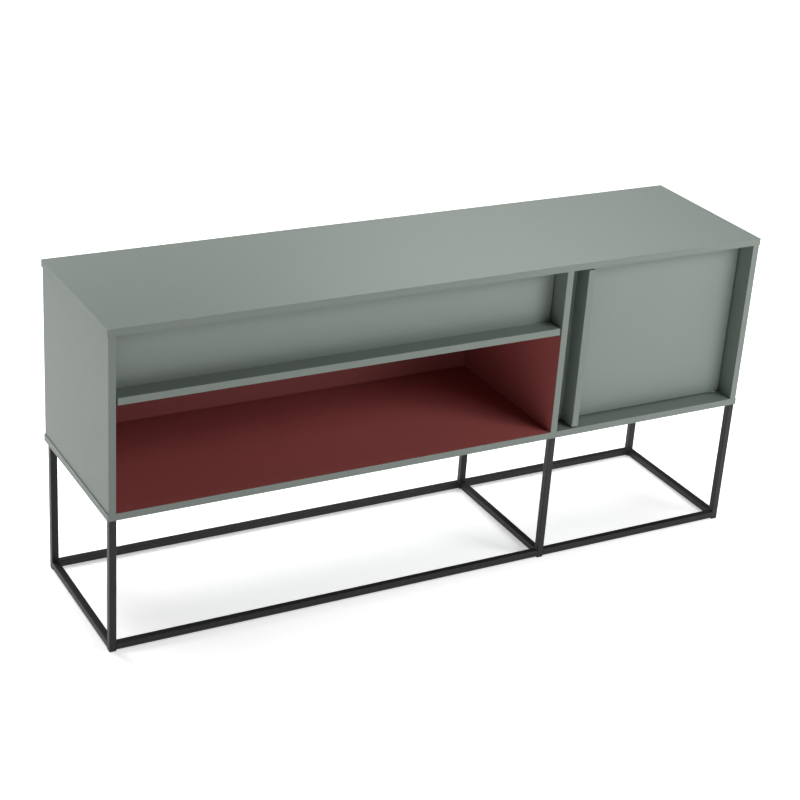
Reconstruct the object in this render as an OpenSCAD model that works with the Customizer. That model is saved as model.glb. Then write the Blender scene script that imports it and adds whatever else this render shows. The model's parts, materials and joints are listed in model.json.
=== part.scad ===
// Sideboard buffet: lacquered board case on a square-tube leg frame.
// Left: an open bay with a lift-up flap above it. Right: a hinged door.
// Millimetres. +X right, +Y to the back, +Z up. Origin under the centre, on the floor.

/* [Case] */
// Overall width, over the top board
width = 1600; // [1450:5:1750]
// Overall depth, over the top board
depth = 400; // [360:5:450]
// Overall height, floor to top
height = 740; // [680:5:800]
// Height of the case's underside above the floor
leg_h = 314; // [260:2:340]
// How far the side boards stand in from the ends of the top and bottom boards
side_inset = 2; // [0:0.5:3]
// From the left end of the top to the left face of the divider
divider_x = 1068; // [950:2:1120]
// Clear height of the open bay
open_h = 243; // [220:1:260]

/* [Boards] */
// Thickness of every case board, door, flap and fin
board_t = 16; // [16:1:18]
// Thickness of the back panels
back_t = 4; // [3:0.5:5]

/* [Door and flap] */
// How far the door and flap are set back from the front
recess = 46; // [40:1:55]
// Clear gap round the door and flap
gap = 4; // [4:0.25:5]
// Clear width for fingers beside the door fin
finger_gap = 42; // [35:1:55]
// How far the fins' front edges stand behind the front of the case
fin_set = 1; // [0:0.5:3]
// Distance from the pivot axis to the hinged edge
pivot_in = 10; // [9:0.5:12]

/* [Leg frame] */
// Size of the square tube
tube = 16; // [15:1:20]
// Wall of the square tube
tube_wall = 1.5; // [1.2:0.1:2]
// Depth of the leg frame
frame_d = 385; // [345:5:385]
// How far the outer legs stand in from the ends
leg_inset = 3.5; // [0:0.5:6]
// Thickness of the glide under each leg
glide_h = 3; // [3:0.5:6]

/* [Hidden] */
$fn = 48;
e = 0.01;
t = board_t;

// case planes, measured from the left, front and floor
xl0 = side_inset;          xl1 = xl0 + t;
xr1 = width - side_inset;  xr0 = xr1 - t;
xd0 = divider_x;           xd1 = xd0 + t;
zb0 = leg_h;               zb1 = zb0 + t;
zt1 = height;              zt0 = zt1 - t;
zs0 = zb1 + open_h;        zs1 = zs0 + t;
case_d = depth - back_t;
mids = [xl0 + t/2, xd0 + t/2, xr0 + t/2];

// door and flap
dd0 = recess;              dd1 = recess + t;
dx0 = xd1 + gap;           dx1 = xr0 - gap;
dz0 = zb1 + gap;           dz1 = zt0 - gap;
px0 = xl1 + gap;           px1 = xd0 - gap;
pz0 = zs0;                 pz1 = zt0 - gap;
fx0 = xd1 + finger_gap;    fx1 = fx0 + t;
ay = recess + t/2;         // depth of both pivot axes
ax = dx1 - pivot_in;       // door axis
az = pz1 - pivot_in;       // flap axis

// cam fittings and dowels
cam_d = 15;    cam_h = 12.8;   cam_in = 34;
bolt_d = 8;    thread_d = 5.2; thread_l = 11;
dowel_d = 8;   dowel_in = 20;  dowel_out = 10.5;
joint_y = [90, depth - 60];
dowel_y = 215;
shelf_joint_y = [130, depth - 80];
shelf_dowel_y = 225;

// shelf pins, on a 32 mm row
pin_d = 5;
pin_y = [100, depth - 50];
pin_z0 = 401.5 - 330 + zb1;
pin_rows = 6;
pin_used = 3;
loose_z = pin_z0 + 32*pin_used + pin_d/2;

// pivots
piv_d = 6;  bush_d = 10;  bush_l = 9;  bush_hole = 9.5;  flange_d = 14;

// stay: a parallelogram, so that the arm turns with the flap and the link keeps its direction
st_f = [25, -85];          // flap pivot to link pivot, flap closed
st_s = [100, -20];         // flap pivot to arm pivot
st_w = 14;                 // width of arm and link
st_t = 2.5;                // thickness of arm, link and brackets

// leg frame
legs_x = [leg_inset, xd0 + (t - tube)/2, width - leg_inset - tube];
legs_y = [0, frame_d - tube];
strap_w = 30;  strap_t = 3;
strap_x = [legs_x[0] + 1.5, legs_x[1] + tube/2 - strap_w/2, width - leg_inset - 1.5 - strap_w];
strap_hole_x = [strap_x[0] + 17, strap_x[1] + 15, strap_x[2] + 13];
strap_hole_y = [40, 140, frame_d - 125, frame_d - 25];

// door fin and flap fin screws
door_fin_z = [for (i = [0:3]) dz0 + 40 + i*(dz1 - dz0 - 80)/3];
flap_fin_x = [for (i = [0:4]) px0 + 60 + i*(px1 - px0 - 120)/4];

// back panel screws
back_z = [for (i = [0:3]) zb1 + 25 + i*(zt0 - zb1 - 50)/3];
back_shelf_x = [for (i = [1:3]) xl1 + i*(xd0 - xl1)/4];
back_x = concat([[xl0 + t/2, 0], [xd0 + t/4, 0], [xd1 - t/4, 1], [xr0 + t/2, 1]]);

// magnetic catch
catch_z = zb1 + 290;

green = [0.50, 0.54, 0.51];
red = [0.42, 0.17, 0.14];
black = [0.07, 0.07, 0.07];
zinc = [0.72, 0.73, 0.74];
brass = [0.75, 0.62, 0.35];
nylon = [0.88, 0.88, 0.85];
beech = [0.80, 0.63, 0.42];
grey = [0.35, 0.35, 0.36];

// ---------- helpers ----------

// everything is drawn from the left front floor corner, then centred
module placed() translate([-width/2, -depth/2, 0]) children();

module box(a, b) translate(a) cube(b - a);

// cylinder from point p, length l, along a signed axis: "x", "-x", "y", "-y", "z", "-z"
module rod(p, l, d, dir = "z", d2 = undef)
  translate(p)
    rotate(dir == "x" ? [0, 90, 0] : dir == "-x" ? [0, -90, 0] :
           dir == "y" ? [-90, 0, 0] : dir == "-y" ? [90, 0, 0] :
           dir == "-z" ? [180, 0, 0] : [0, 0, 0])
      cylinder(d1 = d, d2 = d2 == undef ? d : d2, h = l);

// square outline with rounded corners
module round_square(a, r) {
  translate([r, 0]) square([a - 2*r, a]);
  translate([0, r]) square([a, a - 2*r]);
  for (x = [r, a - r], y = [r, a - r]) translate([x, y]) circle(r = r);
}

// square tube of length l along +Z, +X or +Y, lying in the positive octant
module tube_z(l) linear_extrude(l) difference() {
  round_square(tube, 1.8);
  translate([tube_wall, tube_wall]) square(tube - 2*tube_wall);
}
module tube_x(l) rotate([90, 0, 90]) tube_z(l);
module tube_y(l) translate([0, l, 0]) rotate([90, 0, 0]) tube_z(l);

// flat bar with round ends from point a to point b in the depth-height plane, x0 to x0 + st_t
module flat_bar(a, b, x0) {
  v = b - a;
  l = norm(v);
  translate([x0, 0, 0]) rotate([90, 0, 90]) linear_extrude(st_t)
    translate(a) rotate(atan2(v[1], v[0])) {
      translate([0, -st_w/2]) square([l, st_w]);
      circle(d = st_w);
      translate([l, 0]) circle(d = st_w);
    }
}

// countersunk screw: head face at p, pointing along dir
module csk_screw(p, dir, l, d, head, head_l) {
  rod(p, head_l, head, dir, d);
  rod(p, l, d, dir);
}
module csk_hole(p, dir, l, d, head, head_l) {
  rod(p, head_l, head + 0.4, dir, d + 0.4);
  rod(p, l, d + 0.3, dir);
}

// ---------- holes shared by the case boards ----------

// cam bore in an upright board: face plane x, side of the face, height z
module cam_bore_x(x, dir, y, z) rod([x, y, z], cam_h, cam_d, dir);

// the holes that cam bolts and dowels need at the top and bottom of upright board i
module upright_edge_holes(i) {
  for (y = joint_y) {
    rod([mids[i], y, zt0 + e], cam_in + e, bolt_d, "-z");
    rod([mids[i], y, zb1 - e], cam_in + e, bolt_d, "z");
  }
  rod([mids[i], dowel_y, zt0 + e], dowel_in + e, dowel_d, "-z");
  rod([mids[i], dowel_y, zb1 - e], dowel_in + e, dowel_d, "z");
}

// the holes in the top or bottom board over or under every upright
module cross_board_holes(z, dir) for (x = mids) {
  for (y = joint_y) rod([x, y, z], thread_l, thread_d, dir);
  rod([x, dowel_y, z], dowel_out, dowel_d, dir);
}

// pilot holes for the back panel screws in the rear edge at x
module rear_pilots(x) for (z = back_z) rod([x, case_d + e, z], 13, 2.6, "-y");

module pin_holes(x, dir) for (y = pin_y, i = [0:pin_rows]) rod([x, y, pin_z0 + 32*i], 10, pin_d + 0.1, dir);

// ---------- case ----------

module top_panel() color(green) difference() {
  box([0, 0, zt0], [width, depth, zt1]);
  cross_board_holes(zt0 - e, "z");
  rod([ax, ay, zt0 - e], bush_hole, bush_d, "z");
}

module bottom_panel() color(green) difference() {
  box([0, 0, zb0], [width, depth, zb1]);
  cross_board_holes(zb1 + e, "-z");
  rod([ax, ay, zb1 + e], bush_hole, bush_d, "-z");
  for (x = strap_hole_x, y = strap_hole_y) rod([x, y, zb0 - e], 13.5, 4, "z");
}

module side_panel_left() color(green) difference() {
  box([xl0, 0, zb1], [xl1, case_d, zt0]);
  upright_edge_holes(0);
  for (y = joint_y, z = [zt0 - cam_in, zb1 + cam_in]) cam_bore_x(xl1 + e, "-x", y, z);
  for (y = shelf_joint_y) rod([xl1 + e, y, zs0 + t/2], thread_l, thread_d, "-x");
  rod([xl1 + e, shelf_dowel_y, zs0 + t/2], dowel_out, dowel_d, "-x");
  rod([xl1 + e, ay, az], bush_hole, bush_d, "-x");
  rear_pilots(xl0 + t/2);
  stay_side_pilots();
}

module side_panel_right() color(green) difference() {
  box([xr0, 0, zb1], [xr1, case_d, zt0]);
  upright_edge_holes(2);
  for (y = joint_y, z = [zt0 - cam_in, zb1 + cam_in]) cam_bore_x(xr0 - e, "x", y, z);
  pin_holes(xr0 - e, "x");
  rear_pilots(xr0 + t/2);
}

module divider_panel() color(green) difference() {
  box([xd0, 0, zb1], [xd1, case_d, zt0]);
  upright_edge_holes(1);
  for (y = joint_y, z = [zt0 - cam_in, zb1 + cam_in]) cam_bore_x(xd1 + e, "-x", y, z);
  for (y = shelf_joint_y) rod([xd0 - e, y, zs0 + t/2], thread_l, thread_d, "x");
  rod([xd0 - e, shelf_dowel_y, zs0 + t/2], dowel_out, dowel_d, "x");
  rod([xd0 - e, ay, az], bush_hole, bush_d, "x");
  pin_holes(xd1 + e, "-x");
  rear_pilots(xd0 + t/4);
  rear_pilots(xd1 - t/4);
  for (z = catch_screw_z) rod([xd1 + e, catch_y, z], 10, 2.9, "-x");
}

module fixed_shelf() color(green) difference() {
  box([xl1, dd1 + 2, zs0], [xd0, case_d, zs1]);
  for (y = shelf_joint_y) {
    rod([xl1 - e, y, zs0 + t/2], cam_in, bolt_d, "x");
    rod([xd0 + e, y, zs0 + t/2], cam_in, bolt_d, "-x");
    for (x = [xl1 + cam_in, xd0 - cam_in]) rod([x, y, zs1 + e], cam_h, cam_d, "-z");
  }
  rod([xl1 - e, shelf_dowel_y, zs0 + t/2], dowel_in, dowel_d, "x");
  rod([xd0 + e, shelf_dowel_y, zs0 + t/2], dowel_in, dowel_d, "-x");
  for (x = back_shelf_x) rod([x, case_d + e, zs0 + t/2], 13, 2.6, "-y");
}

module adjustable_shelf() color(green)
  box([xd1 + 1.5, dd1 + 10, loose_z], [xr0 - 1.5, case_d - 4, loose_z + t]);

module back_screw_sites(part) {
  for (s = back_x) if (s[1] == part) for (z = back_z) translate([s[0], depth, z]) children();
  if (part == 0) for (x = back_shelf_x) translate([x, depth, zs0 + t/2]) children();
}

module back_panel_left() color(red) difference() {
  box([xl0 + 1, case_d, zb1], [xd0 + t/2 - 0.3, depth, zt0]);
  back_screw_sites(0) csk_hole([0, e, 0], "-y", back_t + 1, 2.8, 5.6, 1.6);
}

module back_panel_right() color(red) difference() {
  box([xd0 + t/2 + 0.3, case_d, zb1], [xr1 - 1, depth, zt0]);
  back_screw_sites(1) csk_hole([0, e, 0], "-y", back_t + 1, 2.8, 5.6, 1.6);
}

module back_panel_screws() color(zinc)
  for (p = [0, 1]) back_screw_sites(p)
    difference() {
      union() {
        translate([0, -0.2, 0]) rod([0, 0, 0], 1.6, 5.6, "-y", 2.4);
        translate([0, -0.2, 0]) rod([0, 0, 0], 15.5, 2.4, "-y");
      }
      for (a = [0, 90]) rotate([0, a, 0]) translate([-1.5, -1.2, -0.3]) cube([3, 1.3, 0.6]);
    }

// ---------- case fittings ----------

// cam disc seen along +Z: face at z = 0, bolt enters from +Y
module cam_disc() difference() {
  translate([0, 0, -12.5]) cylinder(d = cam_d - 0.2, h = 12.3);
  translate([-3.9, -4.5, -11.9]) cube([7.8, 13, 7.9]);
  for (a = [45, 135]) rotate(a) translate([-3.2, -0.6, -2.4]) cube([6.4, 1.2, 3]);
}

// every cam bore: face centre, turned so that +Z leaves the board and +Y meets the bolt
module at_cams() {
  for (y = joint_y) {
    for (x = [xl1, xd1]) {
      translate([x, y, zt0 - cam_in]) rotate([90, 0, 90]) children();
      translate([x, y, zb1 + cam_in]) rotate([-90, 0, -90]) children();
    }
    translate([xr0, y, zt0 - cam_in]) rotate([90, 0, -90]) children();
    translate([xr0, y, zb1 + cam_in]) rotate([-90, 0, 90]) children();
  }
  for (y = shelf_joint_y) {
    translate([xl1 + cam_in, y, zs1]) rotate(90) children();
    translate([xd0 - cam_in, y, zs1]) rotate(-90) children();
  }
}
module cam_discs() color(zinc) at_cams() cam_disc();

// snap cap with a peg in the cam's cross slot
module cam_cover() {
  cylinder(d = 17, h = 0.6);
  translate([0, 0, 0.5]) cylinder(d1 = 17, d2 = 15.8, h = 0.5);
  translate([-0.45, -0.45, -2]) cube([0.9, 0.9, 2.2]);
}
module cam_covers() color(grey) at_cams() cam_cover();

// cam bolt along +Z: board face at z = 0, thread above it, head below
module cam_bolt() {
  translate([0, 0, -0.2]) cylinder(d = 5, h = 10.7);
  translate([0, 0, -18]) cylinder(d = 7.4, h = 17.8);
  translate([0, 0, -30]) cylinder(d = 4, h = 12.2);
  translate([0, 0, -36]) cylinder(d = 6.5, h = 6.2);
}

module cam_bolts() color(zinc) {
  for (x = mids, y = joint_y) {
    translate([x, y, zt0]) cam_bolt();
    translate([x, y, zb1]) rotate([180, 0, 0]) cam_bolt();
  }
  for (y = shelf_joint_y) {
    translate([xl1, y, zs0 + t/2]) rotate([0, -90, 0]) cam_bolt();
    translate([xd0, y, zs0 + t/2]) rotate([0, 90, 0]) cam_bolt();
  }
}

module wood_dowels() color(beech) {
  for (x = mids) {
    rod([x, dowel_y, zt0 - dowel_in + 0.5], 29.5, dowel_d - 0.1, "z");
    rod([x, dowel_y, zb1 + dowel_in - 0.5], 29.5, dowel_d - 0.1, "-z");
  }
  rod([xl1 + dowel_in - 0.5, shelf_dowel_y, zs0 + t/2], 29.5, dowel_d - 0.1, "-x");
  rod([xd0 - dowel_in + 0.5, shelf_dowel_y, zs0 + t/2], 29.5, dowel_d - 0.1, "x");
}

module shelf_pin() {
  rod([-8, 0, 0], 16, pin_d, "x");
  rod([0, 0, 0], 1, 8, "x");
}
module shelf_pins() color(zinc) for (y = pin_y) {
  translate([xd1, y, pin_z0 + 32*pin_used]) shelf_pin();
  translate([xr0, y, pin_z0 + 32*pin_used]) mirror([1, 0, 0]) shelf_pin();
}

// flanged bush: board face at z = 0, body below it
module bush() difference() {
  union() {
    translate([0, 0, -bush_l]) cylinder(d = bush_d - 0.1, h = bush_l);
    cylinder(d = flange_d, h = 1);
  }
  translate([0, 0, -bush_l - e]) cylinder(d = piv_d + 0.1, h = bush_l + 1 + 2*e);
}
module door_pivot_bushes() color(nylon) {
  translate([ax, ay, zb1]) bush();
  translate([ax, ay, zt0]) rotate([180, 0, 0]) bush();
}
module flap_pivot_bushes() color(nylon) {
  translate([xl1, ay, az]) rotate([0, 90, 0]) bush();
  translate([xd0, ay, az]) rotate([0, -90, 0]) bush();
}

module flap_bumpers() color(grey)
  for (x = [xl1 + 90, xd0 - 90]) rod([x, dd1 + 2, zs0 + t/2], 1.8, 9, "-y");

// magnetic catch on the divider
catch_y = dd1 + 20;
catch_screw_z = [catch_z - 19, catch_z + 19];
module catch_housing() color(nylon) difference() {
  union() {
    box([xd1, dd1 + 2.2, catch_z - 14], [xd1 + 15, dd1 + 34, catch_z + 14]);
    box([xd1, dd1 + 10, catch_z - 24], [xd1 + 3, dd1 + 30, catch_z + 24]);
  }
  box([xd1 + 3, dd1 + 2, catch_z - 12], [xd1 + 12, dd1 + 12, catch_z + 12]);
  for (z = catch_screw_z) rod([xd1 - e, catch_y, z], 4, 3.4, "x");
}
module catch_magnet() color(grey)
  box([xd1 + 3.1, dd1 + 1.5, catch_z - 11.9], [xd1 + 11.9, dd1 + 11.9, catch_z + 11.9]);

// pan-head screw along -Z, head on top of z = 0
module pan_screw(l, d, head, head_h, seat = 0) difference() {
  union() {
    cylinder(d = head, h = head_h);
    translate([0, 0, -l]) cylinder(d = d, h = l + e);
  }
  for (a = [0, 90]) rotate(a) translate([-head*0.3, -0.4, head_h - 1.1]) cube([head*0.6, 0.8, 2]);
}
module catch_screws() color(zinc)
  for (z = catch_screw_z) translate([xd1 + 3.02, catch_y, z]) rotate([0, 90, 0]) pan_screw(12, 2.8, 6, 2);

// ---------- flap stay ----------

st_sy = ay + st_s[0];  st_sz = az + st_s[1];
st_fy = ay + st_f[0];  st_fz = az + st_f[1];
st_ey = st_sy + st_f[0];  st_ez = st_sz + st_f[1];

// x positions of the layers, from the case wall: bracket, arm, link, flap bracket ear
sx_arm = 3;  sx_link = 6;  sx_ear = 9;
side_screws = [[-12, 10], [12, -10]];

module stay_side_pilots()
  for (s = side_screws) rod([xl1 + e, st_sy + s[0], st_sz + s[1]], 11, 3.2, "-x");

module stay_side_bracket() color(zinc) difference() {
  union() {
    box([xl1, st_sy - 20, st_sz - 17], [xl1 + st_t, st_sy + 20, st_sz + 17]);
    rod([xl1 + e, st_sy, st_sz], sx_arm + st_t + 0.1, 6, "x");
    rod([xl1 + sx_arm + st_t + 0.1, st_sy, st_sz], 1.2, 10, "x");
  }
  for (s = side_screws) csk_hole([xl1 + st_t + e, st_sy + s[0], st_sz + s[1]], "-x", 4, 3.4, 6, 1.6);
}

module stay_side_screws() color(zinc) for (s = side_screws)
  translate([xl1 + st_t - 0.25, st_sy + s[0], st_sz + s[1]]) difference() {
    csk_screw([0, 0, 0], "-x", 12, 3, 5.8, 1.5);
    for (a = [0, 90]) rotate([a, 0, 0]) translate([-1.1, -1.6, -0.3]) cube([1.3, 3.2, 0.6]);
  }

module stay_arm() color(zinc) difference() {
  flat_bar([st_sy, st_sz], [st_ey, st_ez], xl1 + sx_arm);
  rod([xl1, st_sy, st_sz], 10, 6.1, "x");
  rod([xl1, st_ey, st_ez], 10, 5.1, "x");
}
module stay_elbow_rivet() color(zinc) {
  rod([xl1 + 1.8, st_ey, st_ez], 1, 9, "x");
  rod([xl1 + 2.7, st_ey, st_ez], 6, 5, "x");
  rod([xl1 + 8.6, st_ey, st_ez], 1, 9, "x");
}
module stay_link() color(zinc) difference() {
  flat_bar([st_fy, st_fz], [st_ey, st_ez], xl1 + sx_link);
  rod([xl1, st_fy, st_fz], 12, 5.1, "x");
  rod([xl1, st_ey, st_ez], 12, 5.2, "x");
}

// ---------- leg frame ----------

module leg(i, j) color(black)
  translate([legs_x[i], legs_y[j], glide_h]) tube_z(zb0 - glide_h);
module leg_front_left() leg(0, 0);
module leg_front_mid() leg(1, 0);
module leg_front_right() leg(2, 0);
module leg_rear_left() leg(0, 1);
module leg_rear_mid() leg(1, 1);
module leg_rear_right() leg(2, 1);

module cross_rail(i) color(black)
  translate([legs_x[i], tube, glide_h]) tube_y(frame_d - 2*tube);
module cross_rail_left() cross_rail(0);
module cross_rail_mid() cross_rail(1);
module cross_rail_right() cross_rail(2);

module long_rail(i, j) color(black)
  translate([legs_x[i] + tube, legs_y[j], glide_h]) tube_x(legs_x[i + 1] - legs_x[i] - tube);
module front_rail_long() long_rail(0, 0);
module front_rail_short() long_rail(1, 0);
module rear_rail_long() long_rail(0, 1);
module rear_rail_short() long_rail(1, 1);

module mount_strap(i) color(black) difference() {
  box([strap_x[i], tube, zb0 - strap_t], [strap_x[i] + strap_w, frame_d - tube, zb0]);
  for (y = strap_hole_y) rod([strap_hole_x[i], y, zb0 - strap_t - e], strap_t + 2*e, 4.6, "z");
}
module mount_strap_left() mount_strap(0);
module mount_strap_mid() mount_strap(1);
module mount_strap_right() mount_strap(2);

module strap_screws() color(black)
  for (x = strap_hole_x, y = strap_hole_y)
    translate([x, y, zb0 - strap_t]) rotate([180, 0, 0]) pan_screw(16, 3.8, 8, 2.5);

module foot_glides() color(black)
  for (x = legs_x, y = legs_y) translate([x, y, 0]) {
    linear_extrude(glide_h) round_square(tube, 1.8);
    translate([tube_wall + 0.15, tube_wall + 0.15, glide_h - e])
      cube([tube - 2*tube_wall - 0.3, tube - 2*tube_wall - 0.3, 12]);
  }

// ---------- door ----------

piv_plate_l = 36;
piv_screw_x = [ax - 10, ax - 22];

// pivot plate and pin, plate face at z = 0, pin along +Z
module pivot(pin_out, collar) {
  translate([-28, -6, -2]) cube([piv_plate_l, 12, 2]);
  translate([0, 0, -12]) cylinder(d = piv_d, h = 12 + pin_out);
  if (collar > 0) cylinder(d = 10, h = collar);
}
module pivot_pocket() {
  translate([-28.1, -6.1, -2]) cube([piv_plate_l + 0.2, 12.2, 3]);
  translate([0, 0, -12.5]) cylinder(d = piv_d + 0.2, h = 13);
  for (x = [-10, -22]) translate([x, 0, -16]) cylinder(d = 2.6, h = 15);
}
module pivot_screw_holes() for (x = [-10, -22]) translate([x, 0, 0]) csk_hole([0, 0, e], "-z", 4, 2.8, 5, 1.3);
module pivot_screws() for (x = [-10, -22]) translate([x, 0, -0.25]) difference() {
  csk_screw([0, 0, 0], "-z", 15, 2.4, 4.8, 1.2);
  for (a = [0, 90]) rotate(a) translate([-1.4, -0.25, -0.8]) cube([2.8, 0.5, 1]);
}

module at_door_top() translate([ax, ay, dz1]) children();
module at_door_bottom() translate([ax, ay, dz0]) mirror([0, 0, 1]) children();
module at_flap_left() translate([px0, ay, az]) mirror([1, 0, 0]) rotate([0, 90, 0]) children();
module at_flap_right() translate([px1, ay, az]) rotate([0, 90, 0]) children();
// turns that send the pivot plates down the flap's ends, away from its top edge
left_turn = 180;
right_turn = 180;

module door_panel() color(green) difference() {
  box([dx0, dd0, dz0], [dx1, dd1, dz1]);
  for (z = door_fin_z) csk_hole([fx0 + t/2, dd1 + e, z], "-y", t + 1, 4, 8, 2.4);
  at_door_top() pivot_pocket();
  at_door_bottom() pivot_pocket();
  rod([dx0 + 11, dd1 + e, catch_z], 11, 2.6, "-y");
}
module door_fin() color(green) difference() {
  box([fx0, fin_set, dz0], [fx1, dd0, dz1]);
  for (z = door_fin_z) rod([fx0 + t/2, dd0 + e, z], 26, 4, "-y");
}
module fin_screw() difference() {
  csk_screw([0, 0, 0], "-y", 40, 3.8, 7.8, 2.2);
  for (a = [0, 90]) rotate([0, a, 0]) translate([-2.2, -1.6, -0.35]) cube([4.4, 1.8, 0.7]);
}
module door_fin_screws() color(zinc)
  for (z = door_fin_z) translate([fx0 + t/2, dd1 - 0.3, z]) fin_screw();
module door_pivot_top() color(zinc) at_door_top() difference() { pivot(12, 2.8); pivot_screw_holes(); }
module door_pivot_bottom() color(zinc) at_door_bottom() difference() { pivot(12, 2.8); pivot_screw_holes(); }
module door_pivot_screws() color(zinc) { at_door_top() pivot_screws(); at_door_bottom() pivot_screws(); }
// steel plate with a barbed peg driven into the door
module door_strike_plate() color(zinc) {
  box([dx0 + 3, dd1, catch_z - 15], [dx0 + 19, dd1 + 1.3, catch_z + 15]);
  rod([dx0 + 11, dd1 + e, catch_z], 10.5, 2.4, "-y");
}

// ---------- flap ----------

module flap_panel() color(green) difference() {
  box([px0, dd0, pz0], [px1, dd1, pz1]);
  for (x = flap_fin_x) csk_hole([x, dd1 + e, pz0 + t/2], "-y", t + 1, 4, 8, 2.4);
  at_flap_left() rotate(left_turn) pivot_pocket();
  at_flap_right() rotate(right_turn) pivot_pocket();
  flap_bracket_pilots();
}
module flap_fin() color(green) difference() {
  box([px0, fin_set, pz0], [px1, dd0, pz0 + t]);
  for (x = flap_fin_x) rod([x, dd0 + e, pz0 + t/2], 26, 4, "-y");
}
module flap_fin_screws() color(zinc)
  for (x = flap_fin_x) translate([x, dd1 - 0.3, pz0 + t/2]) fin_screw();
module flap_pivot() difference() { pivot(12, 2.8); pivot_screw_holes(); }
module flap_pivot_left() color(zinc) at_flap_left() rotate(left_turn) flap_pivot();
module flap_pivot_right() color(zinc) at_flap_right() rotate(right_turn) flap_pivot();
module flap_pivot_screws() color(zinc) {
  at_flap_left() rotate(left_turn) pivot_screws();
  at_flap_right() rotate(right_turn) pivot_screws();
}

// angle bracket on the flap, with its ear in the stay's plane
ear_x = xl1 + sx_ear;
fb_screw_x = ear_x + 15;
fb_screw_z = [st_fz - 9, st_fz + 9];
module flap_stay_bracket() color(zinc) difference() {
  union() {
    box([ear_x, dd1, st_fz - 16], [ear_x + 25, dd1 + st_t, st_fz + 16]);
    box([ear_x, dd1, st_fz - 9], [ear_x + st_t, st_fy, st_fz + 9]);
    rod([ear_x, st_fy, st_fz], st_t, 18, "x");
  }
  rod([ear_x - e, st_fy, st_fz], st_t + 2*e, 5.1, "x");
  for (z = fb_screw_z) csk_hole([fb_screw_x, dd1 + st_t + e, z], "-y", 4, 3.4, 6, 1.6);
}
module stay_link_rivet() color(zinc) {
  rod([xl1 + sx_link - 1.1, st_fy, st_fz], 1, 9, "x");
  rod([xl1 + sx_link - 0.2, st_fy, st_fz], sx_ear - sx_link + st_t + 0.4, 5, "x");
  rod([ear_x + st_t + 0.1, st_fy, st_fz], 1, 9, "x");
}
module flap_bracket_pilots() for (z = fb_screw_z) rod([fb_screw_x, dd1 + e, z], 11, 3.2, "-y");
module flap_stay_screws() color(zinc) for (z = fb_screw_z)
  translate([fb_screw_x, dd1 + st_t - 0.25, z]) difference() {
    csk_screw([0, 0, 0], "-y", 12, 3, 5.8, 1.5);
    for (a = [0, 90]) rotate([0, a, 0]) translate([-1.6, -1.1, -0.3]) cube([3.2, 1.3, 0.6]);
  }

// ---------- nodes ----------

placed() top_panel();
placed() bottom_panel();
placed() side_panel_left();
placed() side_panel_right();
placed() divider_panel();
placed() fixed_shelf();
placed() adjustable_shelf();
placed() back_panel_left();
placed() back_panel_right();
placed() cam_discs();
placed() cam_covers();
placed() cam_bolts();
placed() wood_dowels();
placed() back_panel_screws();
placed() shelf_pins();
placed() door_pivot_bushes();
placed() flap_pivot_bushes();
placed() flap_bumpers();
placed() catch_housing();
placed() catch_magnet();
placed() catch_screws();
placed() stay_side_bracket();
placed() stay_side_screws();
placed() leg_front_left();
placed() leg_front_mid();
placed() leg_front_right();
placed() leg_rear_left();
placed() leg_rear_mid();
placed() leg_rear_right();
placed() cross_rail_left();
placed() cross_rail_mid();
placed() cross_rail_right();
placed() front_rail_long();
placed() front_rail_short();
placed() rear_rail_long();
placed() rear_rail_short();
placed() mount_strap_left();
placed() mount_strap_mid();
placed() mount_strap_right();
placed() strap_screws();
placed() foot_glides();
placed() door_panel();
placed() door_fin();
placed() door_fin_screws();
placed() door_pivot_top();
placed() door_pivot_bottom();
placed() door_pivot_screws();
placed() door_strike_plate();
placed() flap_panel();
placed() flap_fin();
placed() flap_fin_screws();
placed() flap_pivot_left();
placed() flap_pivot_right();
placed() flap_pivot_screws();
placed() flap_stay_bracket();
placed() flap_stay_screws();
placed() stay_link_rivet();
placed() stay_arm();
placed() stay_elbow_rivet();
placed() stay_link();
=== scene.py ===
"""Looks of the sideboard buffet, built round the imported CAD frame."""
import json
import math
import random

import bmesh
import bpy
from mathutils import Matrix, Vector

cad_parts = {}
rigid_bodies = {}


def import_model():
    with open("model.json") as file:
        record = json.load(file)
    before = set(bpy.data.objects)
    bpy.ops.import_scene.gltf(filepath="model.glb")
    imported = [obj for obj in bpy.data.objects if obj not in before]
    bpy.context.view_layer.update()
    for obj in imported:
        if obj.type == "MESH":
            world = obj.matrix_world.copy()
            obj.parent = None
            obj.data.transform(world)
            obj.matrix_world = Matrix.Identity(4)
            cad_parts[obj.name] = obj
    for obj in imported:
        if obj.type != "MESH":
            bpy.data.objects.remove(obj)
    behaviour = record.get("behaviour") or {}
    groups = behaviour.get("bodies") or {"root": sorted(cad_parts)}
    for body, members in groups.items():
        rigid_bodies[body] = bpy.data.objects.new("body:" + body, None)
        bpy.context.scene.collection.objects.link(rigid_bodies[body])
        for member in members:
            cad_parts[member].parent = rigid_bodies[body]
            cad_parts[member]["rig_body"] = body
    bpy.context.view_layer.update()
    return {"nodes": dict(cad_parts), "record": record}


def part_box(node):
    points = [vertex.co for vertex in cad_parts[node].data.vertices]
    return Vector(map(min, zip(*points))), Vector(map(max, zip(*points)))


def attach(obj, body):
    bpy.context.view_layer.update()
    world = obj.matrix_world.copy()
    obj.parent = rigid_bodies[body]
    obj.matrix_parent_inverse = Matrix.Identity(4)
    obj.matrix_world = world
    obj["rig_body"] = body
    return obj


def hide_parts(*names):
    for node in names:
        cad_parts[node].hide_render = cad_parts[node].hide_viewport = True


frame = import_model()
scene = bpy.context.scene

NODE = frame["nodes"]
BODY = {n: o["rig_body"] for n, o in NODE.items()}
SLOT = {s["node"]: s["material_slot"] for s in frame["record"]["subparts"]}


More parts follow.
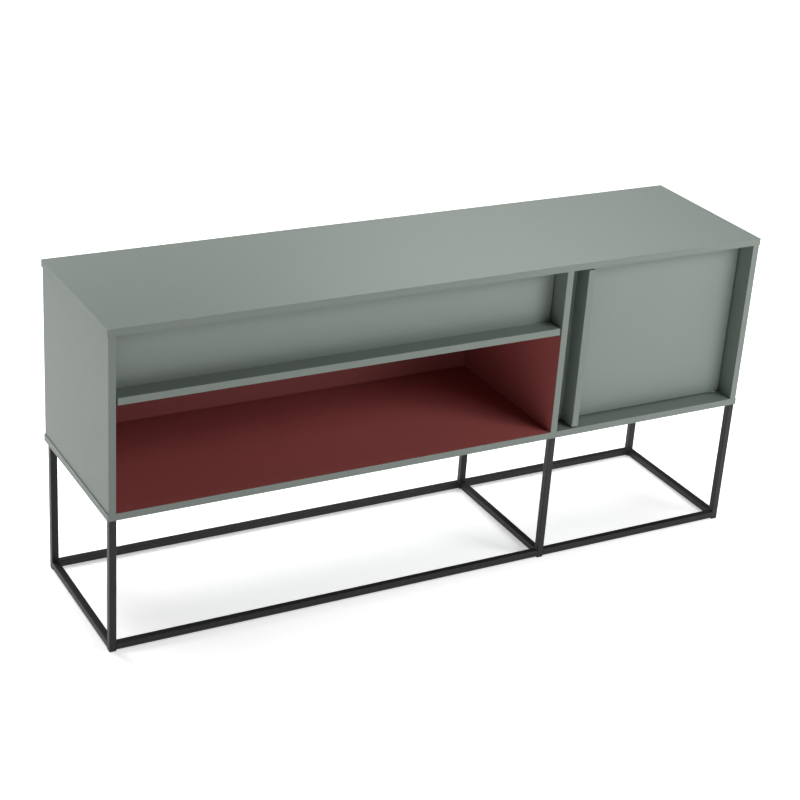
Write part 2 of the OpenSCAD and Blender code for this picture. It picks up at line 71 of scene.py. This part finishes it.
# ---------------------------------------------------------------- node helpers
class Tree:
    """A short way to write a shader tree."""

    def __init__(self, name):
        self.mat = bpy.data.materials.new(name)
        self.mat.use_nodes = True
        self.nt = self.mat.node_tree
        self.nt.nodes.clear()
        self.out = self.nt.nodes.new("ShaderNodeOutputMaterial")
        self.bsdf = self.nt.nodes.new("ShaderNodeBsdfPrincipled")
        self.link(self.bsdf.outputs[0], self.out.inputs[0])

    def link(self, a, b):
        self.nt.links.new(a, b)

    def put(self, value, socket):
        if isinstance(value, bpy.types.NodeSocket):
            self.link(value, socket)
        elif value is not None:
            if hasattr(socket.default_value, "__len__") and not hasattr(value, "__len__"):
                value = (value,) * len(socket.default_value)
            if hasattr(value, "__len__") and len(socket.default_value) == 4 and len(value) == 3:
                value = (*value, 1.0)
            socket.default_value = value

    def coord(self):
        """The object's own coordinates, which are the row frame's, in metres."""
        return self.nt.nodes.new("ShaderNodeTexCoord").outputs["Object"]

    def scaled(self, vec, scale, offset=(0, 0, 0)):
        n = self.nt.nodes.new("ShaderNodeMapping")
        self.link(vec, n.inputs[0])
        n.inputs["Scale"].default_value = scale if hasattr(scale, "__len__") else (scale,) * 3
        n.inputs["Location"].default_value = offset
        return n.outputs[0]

    def noise(self, vec, scale, detail=3.0, rough=0.5, distort=0.0):
        n = self.nt.nodes.new("ShaderNodeTexNoise")
        self.link(vec, n.inputs["Vector"])
        n.inputs["Scale"].default_value = scale
        n.inputs["Detail"].default_value = detail
        n.inputs["Roughness"].default_value = rough
        n.inputs["Distortion"].default_value = distort
        return n.outputs[0]

    def voronoi(self, vec, scale, feature="F1"):
        n = self.nt.nodes.new("ShaderNodeTexVoronoi")
        n.feature = feature
        self.link(vec, n.inputs["Vector"])
        n.inputs["Scale"].default_value = scale
        return n.outputs["Distance"]

    def math(self, op, a, b=None, c=None, clamp=False):
        n = self.nt.nodes.new("ShaderNodeMath")
        n.operation = op
        n.use_clamp = clamp
        for v, s in zip((a, b, c), n.inputs):
            self.put(v, s)
        return n.outputs[0]

    def ramp(self, value, lo, hi, out_lo=0.0, out_hi=1.0):
        n = self.nt.nodes.new("ShaderNodeMapRange")
        n.clamp = True
        self.put(value, n.inputs["Value"])
        n.inputs["From Min"].default_value = lo
        n.inputs["From Max"].default_value = hi
        n.inputs["To Min"].default_value = out_lo
        n.inputs["To Max"].default_value = out_hi
        return n.outputs["Result"]

    def mix(self, fac, a, b, blend="MIX"):
        n = self.nt.nodes.new("ShaderNodeMix")
        n.data_type = "RGBA"
        n.blend_type = blend
        n.clamp_factor = True
        self.put(fac, n.inputs["Factor"])
        self.put(a, [s for s in n.inputs if s.name == "A" and s.type == "RGBA"][0])
        self.put(b, [s for s in n.inputs if s.name == "B" and s.type == "RGBA"][0])
        return [s for s in n.outputs if s.type == "RGBA"][0]

    def split(self, vec):
        n = self.nt.nodes.new("ShaderNodeSeparateXYZ")
        self.link(vec, n.inputs[0])
        return n.outputs[0], n.outputs[1], n.outputs[2]

    def bump(self, height, strength, distance, normal=None):
        n = self.nt.nodes.new("ShaderNodeBump")
        n.inputs["Strength"].default_value = strength
        n.inputs["Distance"].default_value = distance
        self.link(height, n.inputs["Height"])
        if normal is not None:
            self.link(normal, n.inputs["Normal"])
        return n.outputs[0]

    def set(self, **values):
        for k, v in values.items():
            self.put(v, self.bsdf.inputs[k.replace("_", " ")])
        return self.mat


def shade(colour, k):
    return tuple(c * k for c in colour)


# ---------------------------------------------------------------- materials
GREEN = (0.146, 0.173, 0.154)
RED = (0.300, 0.080, 0.075)

# planes of the case, read from the frame
x_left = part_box("side_panel_left")[1].x
x_div0, x_div1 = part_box("divider_panel")[0].x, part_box("divider_panel")[1].x
z_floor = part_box("bottom_panel")[1].z
z_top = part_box("top_panel")[0].z
z_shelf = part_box("fixed_shelf")[0].z
y_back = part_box("back_panel_left")[0].y
y_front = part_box("top_panel")[0].y
y_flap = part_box("flap_panel")[1].y


def lacquer(name, two_tone, shade_front_edges=True):
    """Sprayed lacquer on board: a trace of orange peel, dust nibs and slow drift in shade.
    With two_tone, the faces inside the left half of the case are brick red.
    When its third argument is set, the faces that look to the front, the front edges of the boards, are painted a
    shade deeper: painted shade that takes light off those edges."""
    t = Tree(name)
    p = t.coord()
    slow = t.noise(p, 2.3, 2.0)
    fine = t.noise(p, 240.0, 2.0)
    green = t.mix(t.ramp(slow, 0.3, 0.7), shade(GREEN, 0.992), shade(GREEN, 1.01))
    green = t.mix(t.ramp(fine, 0.35, 0.75, 0.0, 0.5), green, shade(GREEN, 1.025))
    if shade_front_edges:
        # painted shade: faces that look to the front get a colour 14% darker, which darkens the boards' front edges
        facing = t.split(t.nt.nodes.new("ShaderNodeTexCoord").outputs["Normal"])[1]
        green = t.mix(t.math("LESS_THAN", facing, -0.9), green, shade(GREEN, 0.86))
    colour = green
    if two_tone:
        x, y, z = t.split(p)
        eps = 0.0006

        def inside(v, lo, hi):
            a = t.math("GREATER_THAN", v, lo)
            b = t.math("LESS_THAN", v, hi)
            return t.math("MULTIPLY", a, b)

        across = inside(x, x_left - eps, x_div0 + eps)
        bay = t.math("MULTIPLY", inside(z, z_floor - eps, z_shelf + eps), inside(y, y_front + 0.0007, y_back + 0.0011))
        loft = t.math("MULTIPLY", inside(z, z_shelf, z_top + eps), inside(y, y_flap + 0.002, y_back + 0.0011))
        mask = t.math("MULTIPLY", across, t.math("MAXIMUM", bay, loft))
        red = t.mix(t.ramp(slow, 0.3, 0.7), shade(RED, 0.94), shade(RED, 1.04))
        red = t.mix(t.ramp(fine, 0.35, 0.75, 0.0, 0.6), red, shade(RED, 1.05))
        colour = t.mix(mask, green, red)
    peel = t.noise(p, 420.0, 2.0, 0.55)
    wave = t.noise(p, 36.0, 1.0)
    normal = t.bump(wave, 0.05, 0.0004)
    normal = t.bump(peel, 0.16, 0.00008, normal)
    rough = t.ramp(t.noise(p, 60.0, 3.0), 0.25, 0.75, 0.47, 0.50)
    return t.set(Base_Color=colour, Roughness=rough, Normal=normal, Metallic=0.0, IOR=1.45)


def red_board(name):
    """Thin back board: red lacquer on its inner face, green on the outside and the edges."""
    t = Tree(name)
    p = t.coord()
    slow, fine = t.noise(p, 2.3, 2.0), t.noise(p, 240.0, 2.0)
    red = t.mix(t.ramp(slow, 0.3, 0.7), shade(RED, 0.94), shade(RED, 1.04))
    red = t.mix(t.ramp(fine, 0.35, 0.75, 0.0, 0.6), red, shade(RED, 1.05))
    green = t.mix(t.ramp(slow, 0.3, 0.7), shade(GREEN, 0.9), shade(GREEN, 0.96))
    facing = t.split(t.nt.nodes.new("ShaderNodeTexCoord").outputs["Normal"])[1]
    colour = t.mix(t.math("LESS_THAN", facing, -0.5), green, red)
    peel = t.bump(t.noise(p, 380.0, 2.0), 0.2, 0.0001)
    rough = t.ramp(t.noise(p, 14.0, 4.0), 0.25, 0.75, 0.46, 0.55)
    return t.set(Base_Color=colour, Roughness=rough, Normal=peel, IOR=1.45)


def powder_coat(name, base=(0.0062, 0.0063, 0.0066)):
    """Fine-texture black powder coat on steel."""
    t = Tree(name)
    p = t.coord()
    grain = t.noise(p, 900.0, 3.0, 0.6)
    cells = t.voronoi(p, 1100.0)
    slow = t.noise(p, 7.0, 2.0)
    colour = t.mix(t.ramp(slow, 0.3, 0.7), shade(base, 0.88), shade(base, 1.14))
    colour = t.mix(t.ramp(grain, 0.45, 0.75, 0.0, 0.5), colour, shade(base, 1.6))
    height = t.math("ADD", grain, t.math("MULTIPLY", cells, 0.5))
    normal = t.bump(height, 0.35, 0.00012)
    rough = t.ramp(grain, 0.3, 0.7, 0.40, 0.54)
    return t.set(Base_Color=colour, Roughness=rough, Normal=normal, IOR=1.5, Specular_IOR_Level=0.31)


def zinc(name, base=(0.62, 0.63, 0.65), along="Z"):
    """Bright zinc plate with fine drawn lines and a few darker clouds."""
    t = Tree(name)
    p = t.coord()
    lines = t.noise(t.scaled(p, (2500, 2500, 60) if along == "Z" else (60, 2500, 2500)), 1.0, 2.0)
    cloud = t.noise(p, 70.0, 4.0)
    colour = t.mix(t.ramp(cloud, 0.3, 0.7), shade(base, 0.82), base)
    rough = t.ramp(t.math("ADD", t.math("MULTIPLY", lines, 0.5), t.math("MULTIPLY", cloud, 0.5)), 0.3, 0.7, 0.24, 0.40)
    return t.set(Base_Color=colour, Metallic=1.0, Roughness=rough, Normal=t.bump(lines, 0.12, 0.00005))


def moulded(name, base, rough_lo=0.42, rough_hi=0.55, grain=700.0):
    """Moulded plastic or rubber with a fine spark-eroded grain."""
    t = Tree(name)
    p = t.coord()
    g = t.noise(p, grain, 2.0)
    c = t.noise(p, 45.0, 3.0)
    colour = t.mix(t.ramp(c, 0.3, 0.7), shade(base, 0.9), shade(base, 1.05))
    return t.set(
        Base_Color=colour, Roughness=t.ramp(g, 0.3, 0.7, rough_lo, rough_hi), Normal=t.bump(g, 0.2, 0.00006), IOR=1.48
    )


def beech(name):
    """Fluted beech dowel: pale wood, long flecks."""
    t = Tree(name)
    p = t.coord()
    rays = t.noise(t.scaled(p, (900, 900, 60)), 1.0, 4.0, 0.6)
    rings = t.noise(t.scaled(p, (160, 160, 8)), 1.0, 2.0)
    colour = t.mix(t.ramp(rings, 0.3, 0.7), (0.50, 0.33, 0.18), (0.66, 0.47, 0.28))
    colour = t.mix(t.ramp(rays, 0.55, 0.75, 0.0, 0.6), colour, (0.33, 0.19, 0.09))
    return t.set(Base_Color=colour, Roughness=t.ramp(rays, 0.3, 0.7, 0.5, 0.7), Normal=t.bump(rays, 0.3, 0.0001))


MAT = {
    # the first and third lacquers below paint the faces that look to the front a shade darker: painted shade on the
    # front edges
    "lacquered_board": lacquer("lacquer_two_tone", True),
    "lacquer_plain": lacquer("lacquer_green", False, False),
    "lacquer_front_shaded": lacquer("lacquer_green_front_shaded", False),
    "red_back_board": red_board("back_red"),
    "back_board": lacquer("back_green", False, False),
    "frame_powder_coat": powder_coat("powder_coat"),
    "black_screw": powder_coat("screw_black", (0.010, 0.010, 0.011)),
    "glide_plastic": moulded("glide_black", (0.012, 0.012, 0.0125)),
    "dowel_beech": beech("dowel_beech"),
    "white_nylon": moulded("nylon", (0.72, 0.72, 0.68), 0.3, 0.42),
    "cover_plastic": moulded("cover_green", (0.125, 0.150, 0.134)),
    "bumper_rubber": moulded("rubber_grey", (0.10, 0.10, 0.10), 0.6, 0.75),
    "catch_magnet": zinc("magnet", (0.26, 0.26, 0.27)),
    "plated_steel": zinc("zinc_plate"),
}

TWO_TONE = {"bottom_panel", "top_panel", "side_panel_left", "divider_panel", "fixed_shelf"}
# boards with the painted shade on their front edges (the two-tone boards get it too)
FRONT_EDGES_SHADED = {"side_panel_right", "door_fin", "flap_fin", "adjustable_shelf"}


def material_for(node):
    slot = SLOT[node]
    if slot == "lacquered_board" and node not in TWO_TONE:
        return MAT["lacquer_front_shaded" if node in FRONT_EDGES_SHADED else "lacquer_plain"]
    return MAT[slot]


def paint(obj, mat):
    obj.data.materials.clear()
    obj.data.materials.append(mat)


for name, obj in NODE.items():
    paint(obj, material_for(name))


# ---------------------------------------------------------------- rounded pieces
def clean_copy(node):
    """A bmesh of a CAD node with its flat faces whole again."""
    bm = bmesh.new()
    bm.from_mesh(NODE[node].data)
    bmesh.ops.remove_doubles(bm, verts=bm.verts, dist=1e-6)
    bmesh.ops.dissolve_limit(
        bm, angle_limit=math.radians(0.4), verts=bm.verts, edges=bm.edges, use_dissolve_boundaries=False
    )
    return bm


def finish_mesh(name, bm, mat, body, replaced):
    bm.normal_update()
    mesh = bpy.data.meshes.new(name)
    bm.to_mesh(mesh)
    bm.free()
    mesh.materials.append(mat)
    obj = bpy.data.objects.new(name, mesh)
    scene.collection.objects.link(obj)
    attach(obj, body)
    if replaced:
        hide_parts(*replaced)
    return obj


def rounded(node, radius, piece=None, segments=2, angle=40):
    """The node again with its edges eased, as a sanded and sprayed board or a drawn tube has them."""
    bm = clean_copy(node)
    obj = finish_mesh(piece or node + "_eased", bm, material_for(node), BODY[node], [node])
    mod = obj.modifiers.new("ease", "BEVEL")
    mod.width = radius
    mod.segments = segments
    mod.limit_method = "ANGLE"
    mod.angle_limit = math.radians(angle)
    mod.harden_normals = False
    mod.use_clamp_overlap = True
    mod.miter_outer = "MITER_SHARP"
    bpy.context.view_layer.update()
    dg = bpy.context.evaluated_depsgraph_get()
    mesh = bpy.data.meshes.new_from_object(obj.evaluated_get(dg))
    obj.modifiers.clear()
    obj.data = mesh
    for f in mesh.polygons:
        f.use_smooth = True
    mesh.set_sharp_from_angle(angle=math.radians(50))
    keep = obj.modifiers.new("normals", "WEIGHTED_NORMAL")
    keep.keep_sharp = True
    keep.weight = 90
    return obj


BOARDS = {
    "top_panel": 0.0009,
    "bottom_panel": 0.0009,
    "side_panel_left": 0.0006,
    "side_panel_right": 0.0006,
    "divider_panel": 0.0007,
    "fixed_shelf": 0.0007,
    "adjustable_shelf": 0.0008,
    "door_panel": 0.0009,
    "door_fin": 0.0009,
    "flap_panel": 0.0009,
    "flap_fin": 0.0009,
}
for name, radius in BOARDS.items():
    rounded(name, radius)


# ---------------------------------------------------------------- welds of the leg frame
def weld_beads():
    """Small fillet welds in the inner corners of the leg frame, under the same powder coat."""
    rng = random.Random(11)
    bm = bmesh.new()

    def bead(p0, p1, n1, n2, r=0.0021):
        p0, p1, n1, n2 = Vector(p0), Vector(p1), Vector(n1), Vector(n2)
        along = p1 - p0
        steps = max(8, int(along.length / 0.0011))
        rings = []
        for i in range(steps + 1):
            u = i / steps
            taper = min(1.0, 0.55 + 2.2 * min(u, 1 - u))
            ripple = 1.0 + 0.07 * math.sin(i * 2.1 + rng.random()) + 0.04 * (rng.random() - 0.5)
            k = r * taper * ripple
            c = p0 + along * u
            sink = (n1 + n2) * -0.0002
            ring = [c + sink + n1 * 0.0 + n2 * 0.0]
            for a in (0.0, 0.25, 0.5, 0.75, 1.0):
                w1, w2 = math.cos(a * math.pi / 2), math.sin(a * math.pi / 2)
                bulge = 1.0 - 0.30 * math.sin(a * math.pi)
                ring.append(c + n1 * (w1 * k * bulge) + n2 * (w2 * k * bulge) - n2 * 0.0002 * w1 - n1 * 0.0002 * w2)
            rings.append([bm.verts.new(v) for v in ring])
        n = len(rings[0])
        for i in range(steps):
            for j in range(n):
                bm.faces.new((rings[i][j], rings[i][(j + 1) % n], rings[i + 1][(j + 1) % n], rings[i + 1][j]))
        bm.faces.new(rings[0][::-1])
        bm.faces.new(rings[-1])

    X, Y, Z = Vector((1, 0, 0)), Vector((0, 1, 0)), Vector((0, 0, 1))
    rail_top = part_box("front_rail_long")[1].z
    rail_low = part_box("front_rail_long")[0].z
    for side in ("left", "mid", "right"):
        strap_lo, strap_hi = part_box("mount_strap_" + side)
        for end, inward in (("front", 1), ("rear", -1)):
            lo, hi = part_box("leg_%s_%s" % (end, side))
            yi = hi.y if inward > 0 else lo.y
            sides = [s for s in (-1, 1) if not (side == "left" and s < 0) and not (side == "right" and s > 0)]
            for s in sides:
                x = hi.x if s > 0 else lo.x
                bead((x, lo.y + 0.0012, rail_top), (x, hi.y - 0.0012, rail_top), X * s, Z)
                bead((x, yi, rail_low + 0.0012), (x, yi, rail_top - 0.001), X * s, Y * inward)
            bead((lo.x + 0.0012, yi, rail_top), (hi.x - 0.0012, yi, rail_top), Y * inward, Z)
            x0, x1 = max(lo.x, strap_lo.x), min(hi.x, strap_hi.x)
            bead((x0 + 0.001, yi, strap_lo.z), (x1 - 0.001, yi, strap_lo.z), Y * inward, -Z, 0.0018)
    bmesh.ops.recalc_face_normals(bm, faces=bm.faces)
    for f in bm.faces:
        f.smooth = True
    obj = finish_mesh("weld_beads", bm, MAT["frame_powder_coat"], BODY["leg_front_left"], [])
    obj.data.set_sharp_from_angle(angle=math.radians(60))


weld_beads()


# ---------------------------------------------------------------- camera
cam_data = bpy.data.cameras.new("camera")
cam = bpy.data.objects.new("camera", cam_data)
scene.collection.objects.link(cam)
cam_data.sensor_width = 36.0
cam_data.lens = 84.0
right = Vector((0.879150, -0.472174, 0.064389))
up = Vector((0.149655, 0.401839, 0.903398))
back = Vector((-0.452435, -0.784587, 0.423940))
m = Matrix((right, up, back)).transposed().to_4x4()
m.translation = Vector((-1.95810, -3.36057, 2.18728))
cam.matrix_world = m
cam_data.clip_start = 0.05
cam_data.clip_end = 200.0
scene.camera = cam


# ---------------------------------------------------------------- stage and light
def stage_floor():
    """Pale paper floor with painted light: it glows, least beside the piece and more away from it, so that the piece's
    shadow on the floor is washed out.
    """
    bm = bmesh.new()
    bmesh.ops.create_grid(bm, x_segments=1, y_segments=1, size=30.0)
    mesh = bpy.data.meshes.new("floor")
    bm.to_mesh(mesh)
    bm.free()
    floor = bpy.data.objects.new("floor", mesh)
    floor.location = (0, 0, -0.0002)
    scene.collection.objects.link(floor)
    t = Tree("floor_pale")
    p = t.coord()
    n = t.noise(p, 3.0, 3.0)
    c = t.mix(t.ramp(n, 0.3, 0.7), (0.90, 0.90, 0.90), (0.915, 0.915, 0.915))
    x, y, z = t.split(p)
    ox = t.math("MAXIMUM", t.math("SUBTRACT", t.math("ABSOLUTE", x), 0.70), 0.0)
    oy = t.math("MAXIMUM", t.math("SUBTRACT", t.math("ABSOLUTE", y), 0.10), 0.0)
    off = t.math("SQRT", t.math("ADD", t.math("MULTIPLY", ox, ox), t.math("MULTIPLY", oy, oy)))
    # painted light: the floor's emission grows with distance from the piece's footprint, lifting its cast shadow
    near = t.ramp(off, 0.0, 0.30, 0.34, 0.68)
    painted_floor_glow = t.math("ADD", near, t.ramp(off, 0.30, 1.60, 0.0, 0.32))
    mesh.materials.append(t.set(Base_Color=c, Roughness=0.9, Emission_Color=(1.0, 1.0, 1.0), Emission_Strength=painted_floor_glow))


stage_floor()


def aim(obj, towards):
    """Turn a light so that it shines along -towards."""
    obj.rotation_mode = "QUATERNION"
    obj.rotation_quaternion = Vector(towards).to_track_quat("Z", "Y")
    scene.collection.objects.link(obj)


def softbox(name, place, size, irradiance):
    """A square softbox aimed at the middle of the case, where it gives the stated irradiance."""
    target = Vector((0.2, 0.0, 0.45))
    away = Vector(place) - target
    data = bpy.data.lights.new(name, "AREA")
    data.shape = "SQUARE"
    data.size = size
    data.energy = irradiance * math.pi * away.length_squared
    obj = bpy.data.objects.new(name, data)
    obj.location = place
    obj.visible_camera = False
    aim(obj, away)


softbox("key_right", (1.35, -1.6, 1.3), 1.1, 0.86)
softbox("key_high", (1.1, -1.7, 1.8), 1.0, 0.98)
softbox("key_far_right", (2.6, -2.6, 2.4), 1.2, 0.62)
softbox("rear_left", (-1.2, 1.6, 1.8), 1.2, 1.95)
softbox("rear_right", (0.9, 0.9, 2.2), 1.2, 2.2)
softbox("overhead_left", (-0.7, 0.2, 2.3), 1.2, 0.95)

# the room: white round the horizon, dim overhead
world = bpy.data.worlds.new("world")
scene.world = world
world.use_nodes = True
nodes, links = world.node_tree.nodes, world.node_tree.links
bg = nodes["Background"]
bg.inputs[0].default_value = (1.0, 1.0, 1.0, 1.0)
sky = nodes.new("ShaderNodeTexCoord")
sky_z = nodes.new("ShaderNodeSeparateXYZ")
band = nodes.new("ShaderNodeMapRange")
band.interpolation_type = "SMOOTHSTEP"
band.inputs["From Min"].default_value = 0.06
band.inputs["From Max"].default_value = 0.17
band.inputs["To Min"].default_value = 1.0
band.inputs["To Max"].default_value = 0.03
links.new(sky.outputs["Generated"], sky_z.inputs[0])
links.new(sky_z.outputs[2], band.inputs["Value"])
links.new(band.outputs[0], bg.inputs[1])

scene.view_settings.view_transform = "Standard"
scene.view_settings.look = "None"
scene.view_settings.exposure = 0.0
scene.view_settings.gamma = 1.0
